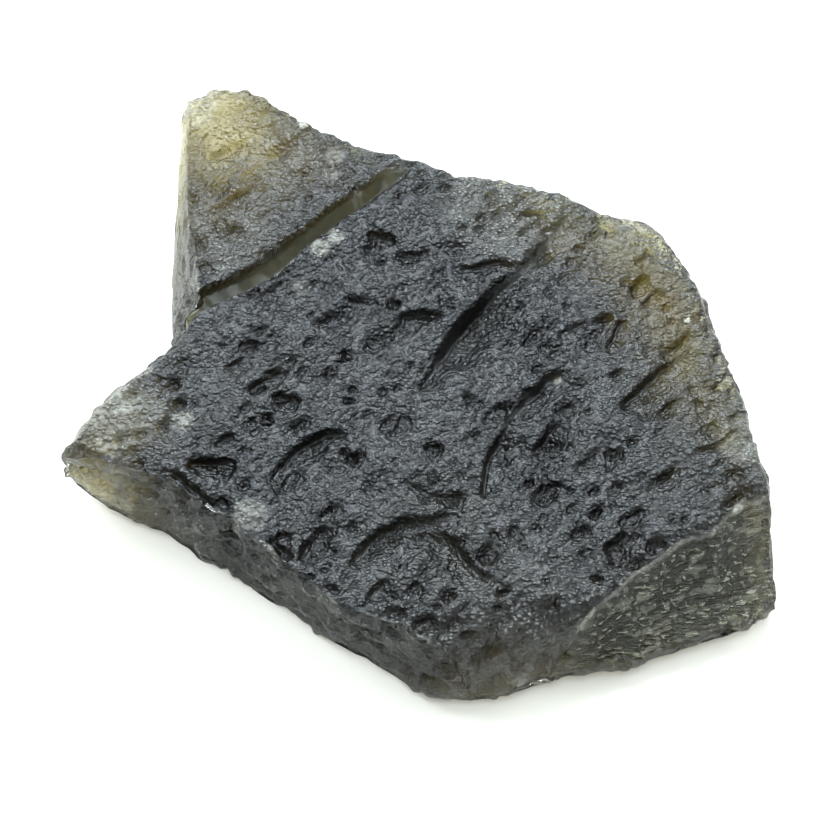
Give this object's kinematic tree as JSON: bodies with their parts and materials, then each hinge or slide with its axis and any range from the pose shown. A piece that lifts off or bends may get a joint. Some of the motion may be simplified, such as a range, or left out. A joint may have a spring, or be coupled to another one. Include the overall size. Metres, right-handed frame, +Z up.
{
  "type": "raw moldavite stone",
  "caption": "Flat piece of natural green glass with an etched upper face, a broken rim, a side lobe set off by a groove and a scooped slope at one corner.",
  "frame": {"origin": "middle of the stone's box, on the surface it rests on", "axes": "+Z up through the thickness, +X along the longest side towards the scooped corner, -Y towards the broken front wall"},
  "size_m": [0.0328, 0.0317, 0.0053],
  "materials": {
    "etched_glass": "natural olive-green glass, dark where it is thick, with a finely pitted skin that is half glossy"
  },
  "bodies": {
    "root": {"moldavite": "etched_glass"}
  },
  "joints": []
}
